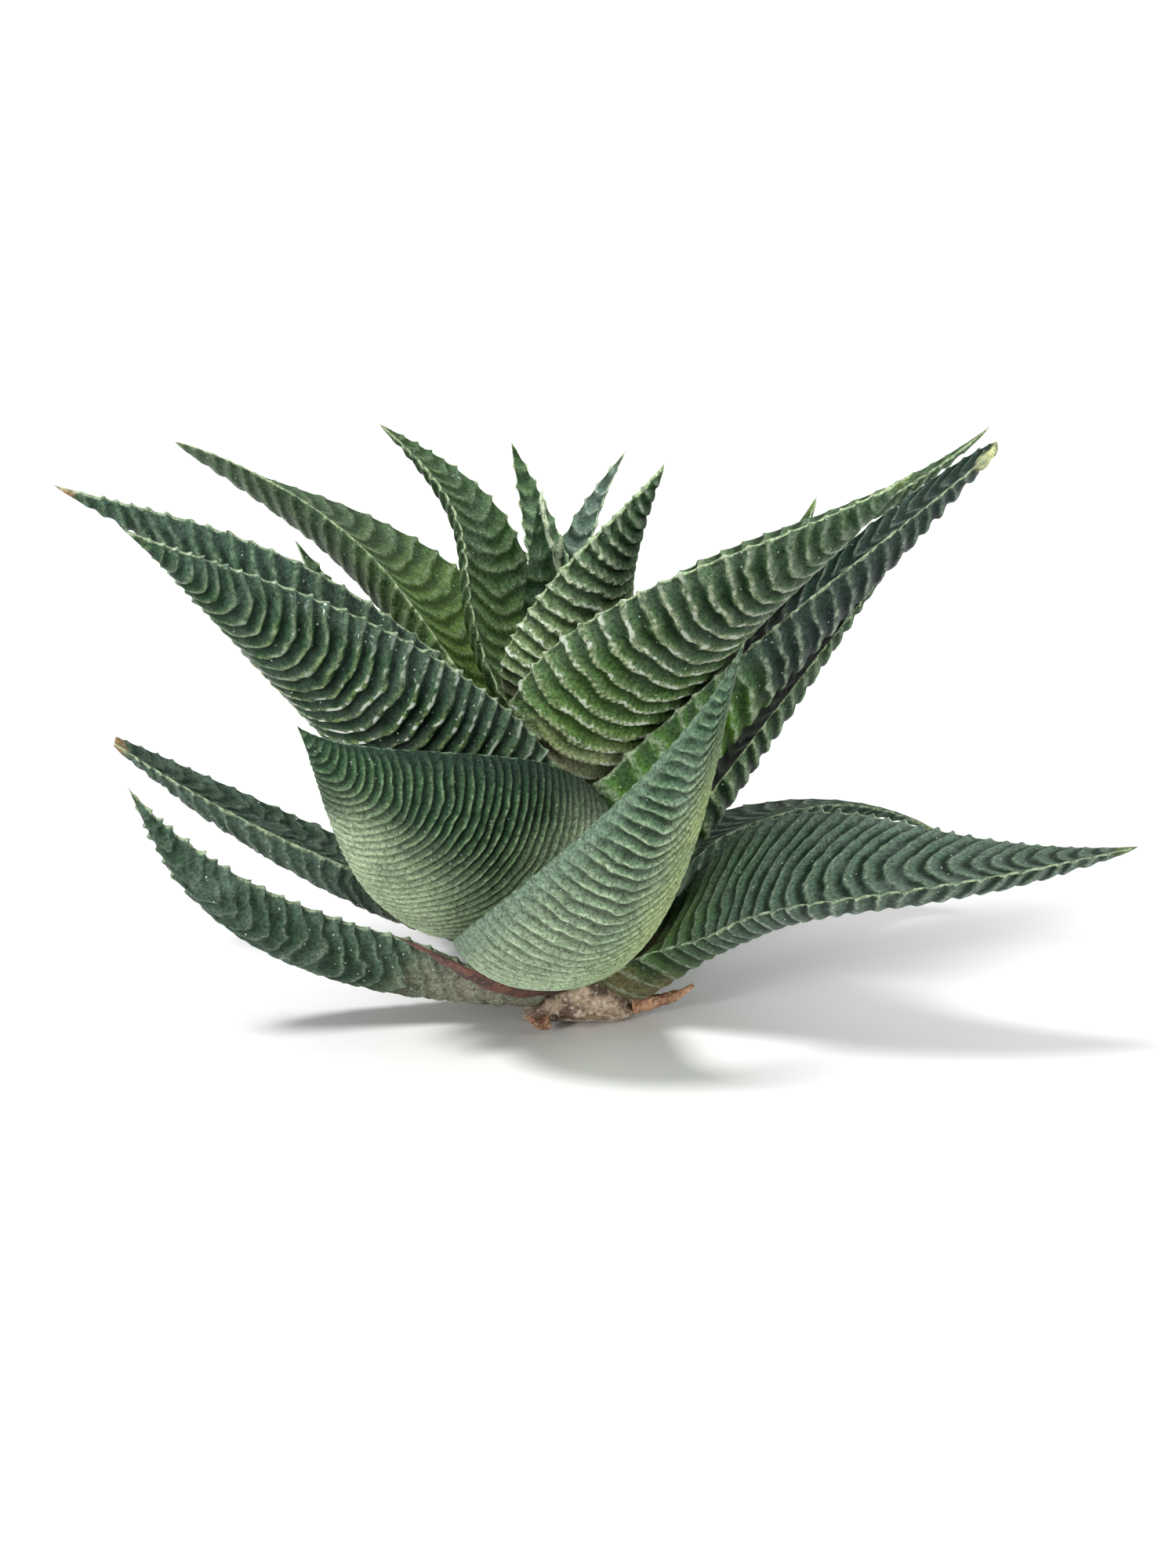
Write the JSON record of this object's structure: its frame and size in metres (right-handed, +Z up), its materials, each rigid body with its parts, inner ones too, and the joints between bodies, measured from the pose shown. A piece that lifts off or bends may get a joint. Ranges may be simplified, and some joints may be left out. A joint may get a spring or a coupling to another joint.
{
  "type": "washboard haworthia rosette",
  "caption": "Unpotted rosette succulent with thick pointed leaves raised in cross ridges, on a short dry stem stub that rests flat.",
  "frame": {"origin": "centre of the flat underside of the stem stub, on which the plant rests", "axes": "+Z up along the rosette's axis, -Y towards the side the picture was taken from"},
  "size_m": [0.1165, 0.092, 0.0655],
  "materials": {
    "leaf_deep": "deep grey-green leaf skin, waxy, with pale ridge crests",
    "leaf_grey": "grey-green leaf skin, waxy, brighter at the foot",
    "leaf_pale": "pale green leaf skin with fine ridges",
    "dry_stem": "dry corky stem",
    "dry_fibre": "dry reddish-brown fibre"
  },
  "bodies": {
    "root": {"leaf_low_left": "leaf_deep", "leaf_low_right": "leaf_deep", "leaf_low_left_upper": "leaf_deep", "leaf_low_right_behind": "leaf_deep", "leaf_low_back": "leaf_deep", "leaf_low_back_left": "leaf_deep", "leaf_low_back_right": "leaf_deep", "leaf_left_front": "leaf_deep", "leaf_left_long": "leaf_deep", "leaf_right_long": "leaf_deep", "leaf_front_right": "leaf_pale", "leaf_front_left": "leaf_pale", "leaf_right_outer": "leaf_grey", "leaf_back_left": "leaf_grey", "leaf_back_right": "leaf_grey", "leaf_back_middle": "leaf_grey", "leaf_right_front": "leaf_grey", "leaf_right_top": "leaf_grey", "leaf_left_top": "leaf_grey", "leaf_crown_left": "leaf_grey", "leaf_crown_front": "leaf_grey", "leaf_crown_back": "leaf_grey", "leaf_crown_right": "leaf_grey", "leaf_heart_left": "leaf_grey", "leaf_heart_right": "leaf_grey", "stem": "dry_stem", "dry_sheath": "dry_fibre", "dry_root_right": "dry_fibre", "dry_root_left": "dry_fibre"}
  },
  "joints": []
}
